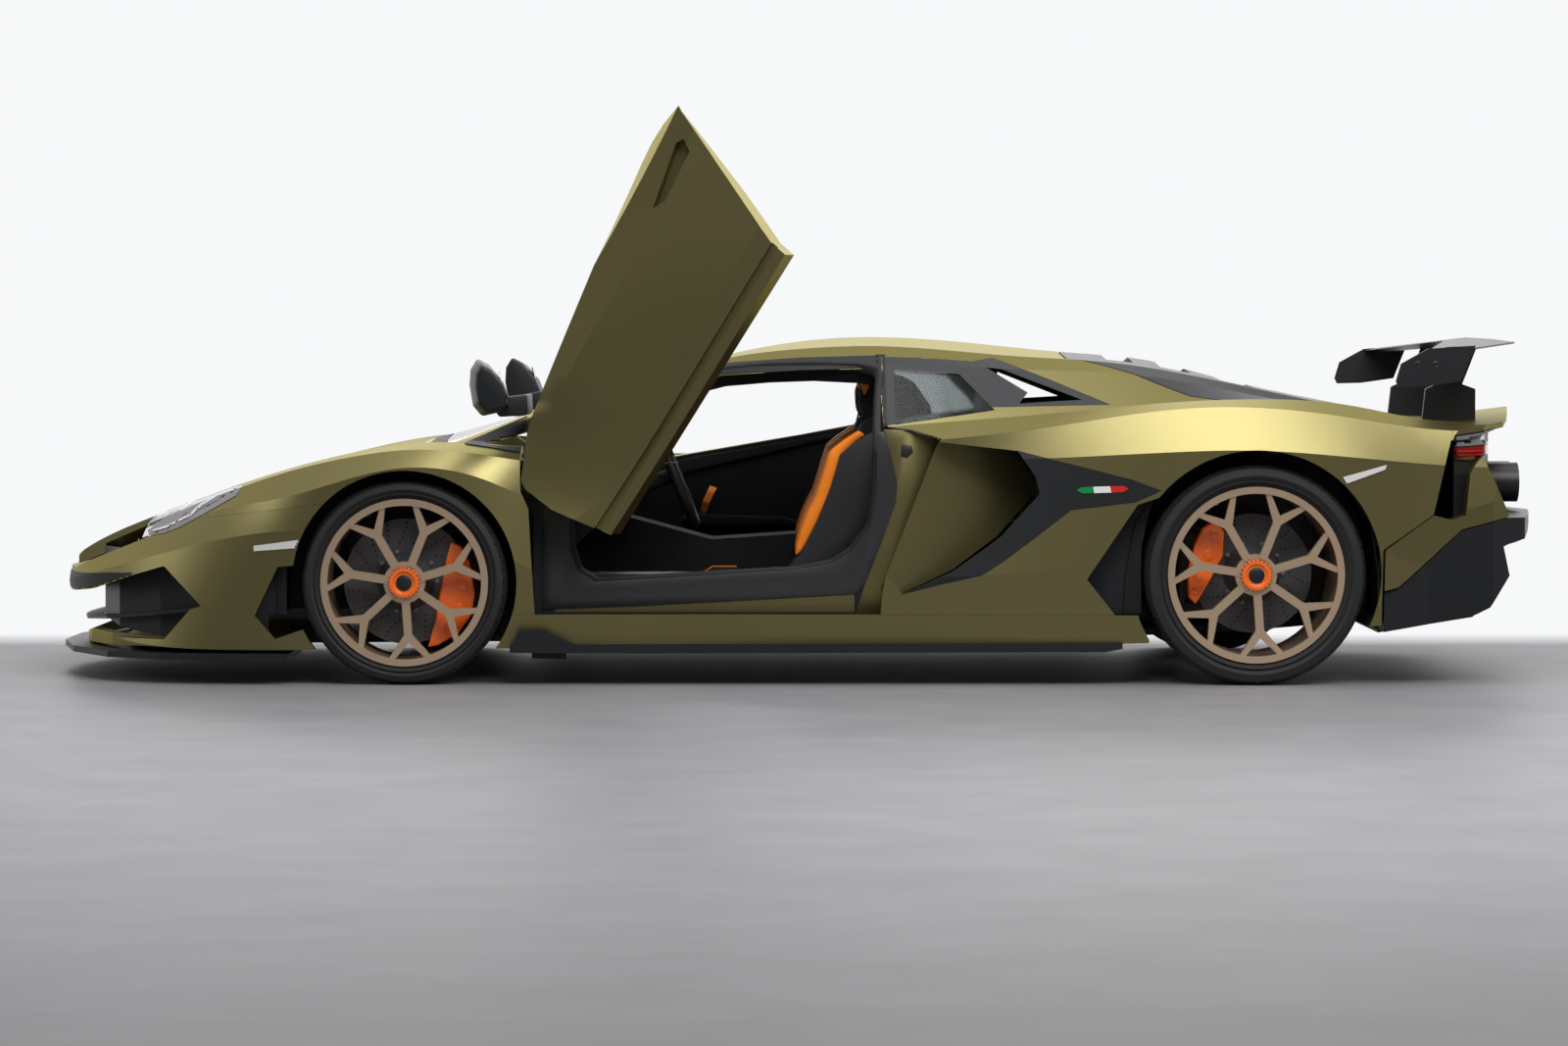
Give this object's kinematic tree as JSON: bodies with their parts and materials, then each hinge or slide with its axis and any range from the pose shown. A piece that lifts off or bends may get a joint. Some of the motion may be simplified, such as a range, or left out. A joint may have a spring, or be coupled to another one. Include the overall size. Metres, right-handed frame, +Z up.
{
  "type": "mid-engined supercar",
  "caption": "Low wedge-shaped mid-engined sports car with scissor doors, the left one raised, a rear wing and forged wheels",
  "frame": {"origin": "On the ground, midway between nose and tail, on the centre plane of the car", "axes": "+X points to the nose, +Y to the car's left side, +Z up"},
  "size_m": [4.9091, 2.2951, 1.8298],
  "materials": {
    "paint": "satin olive green",
    "carbon": "satin black",
    "glass": "tinted",
    "lens": "clear",
    "red_lens": "gloss",
    "tyre": "matte",
    "bronze": "satin bronze",
    "ceramic": "machined",
    "caliper": "gloss orange",
    "alloy": "cast",
    "seat": "satin",
    "trim": "matte",
    "steel": "brushed"
  },
  "bodies": {
    "chassis": {"arch_liners": "carbon", "console": "trim", "dashboard": "trim", "diffuser": "carbon", "engine": "alloy", "exhaust": "steel", "front_arms": "alloy", "front_bumper": "paint", "front_fender_left": "paint", "front_fender_right": "paint", "headlamps": "lens", "intake_trims": "carbon", "jambs": "paint", "mirrors": "carbon", "monocoque": "carbon", "nose_ducts": "carbon", "quarter_glass": "glass", "rear_arms": "alloy", "rear_calipers": "caliper", "rear_corners": "paint", "rear_deck": "paint", "rear_fascia": "carbon", "rear_quarter_left": "paint", "rear_quarter_right": "paint", "rear_uprights": "alloy", "roof": "paint", "screen_frame": "carbon", "seat_left": "seat", "seat_right": "seat", "side_frames": "carbon", "sills": "paint", "skirts": "carbon", "splitter": "carbon", "steering_wheel": "trim", "subframes": "alloy", "tail_lamps": "red_lens", "underfloor": "carbon", "windscreen": "glass", "wing": "carbon"},
    "steer_left": {"knuckle_left": "alloy", "front_caliper_left": "caliper"},
    "steer_right": {"knuckle_right": "alloy", "front_caliper_right": "caliper"},
    "door_left_body": {"door_left": "paint"},
    "door_right_body": {"door_right": "paint"},
    "bonnet_body": {"bonnet": "paint"},
    "cover_body": {"engine_cover": "carbon"},
    "wheel_front_left": {"tyre_front_left": "tyre", "rim_front_left": "bronze", "disc_front_left": "ceramic"},
    "wheel_front_right": {"tyre_front_right": "tyre", "rim_front_right": "bronze", "disc_front_right": "ceramic"},
    "wheel_rear_left": {"tyre_rear_left": "tyre", "rim_rear_left": "bronze", "disc_rear_left": "ceramic"},
    "wheel_rear_right": {"tyre_rear_right": "tyre", "rim_rear_right": "bronze", "disc_rear_right": "ceramic"}
  },
  "joints": [
    {"name": "steering_left", "type": "hinge", "parent": "chassis", "child": "steer_left", "pos_m": [1.262, 0.8, 0.325], "axis": [0, 0, 1], "range_deg": [-28, 28]},
    {"name": "steering_right", "type": "hinge", "parent": "chassis", "child": "steer_right", "pos_m": [1.262, -0.8, 0.325], "axis": [0, 0, 1], "range_deg": [-28, 28]},
    {"name": "wheel_spin_front_left", "type": "hinge", "parent": "steer_left", "child": "wheel_front_left", "pos_m": [1.262, 0.86, 0.325], "axis": [0, 1, 0], "continuous": true},
    {"name": "wheel_spin_front_right", "type": "hinge", "parent": "steer_right", "child": "wheel_front_right", "pos_m": [1.262, -0.86, 0.325], "axis": [0, 1, 0], "continuous": true},
    {"name": "wheel_spin_rear_left", "type": "hinge", "parent": "chassis", "child": "wheel_rear_left", "pos_m": [-1.438, 0.84, 0.35], "axis": [0, 1, 0], "continuous": true},
    {"name": "wheel_spin_rear_right", "type": "hinge", "parent": "chassis", "child": "wheel_rear_right", "pos_m": [-1.438, -0.84, 0.35], "axis": [0, 1, 0], "continuous": true},
    {"name": "door_left_swing", "type": "hinge", "parent": "chassis", "child": "door_left_body", "pos_m": [0.929, 0.8743, 0.574], "axis": [0.0976, 0.9759, -0.1952], "range_deg": [-58.5, 0]},
    {"name": "door_right_swing", "type": "hinge", "parent": "chassis", "child": "door_right_body", "pos_m": [0.929, -0.8743, 0.574], "axis": [-0.0976, 0.9759, 0.1952], "range_deg": [0, 58.5]},
    {"name": "bonnet_lift", "type": "hinge", "parent": "chassis", "child": "bonnet_body", "pos_m": [1.13, 0, 0.7], "axis": [0, -1, 0], "range_deg": [0, 50]},
    {"name": "engine_cover_lift", "type": "hinge", "parent": "chassis", "child": "cover_body", "pos_m": [-1.962, 0, 0.822], "axis": [0, -1, 0], "range_deg": [0, 50]}
  ],
  "couplings": [
    {"joint": "steering_right", "follows": "steering_left", "ratio": 1}
  ]
}
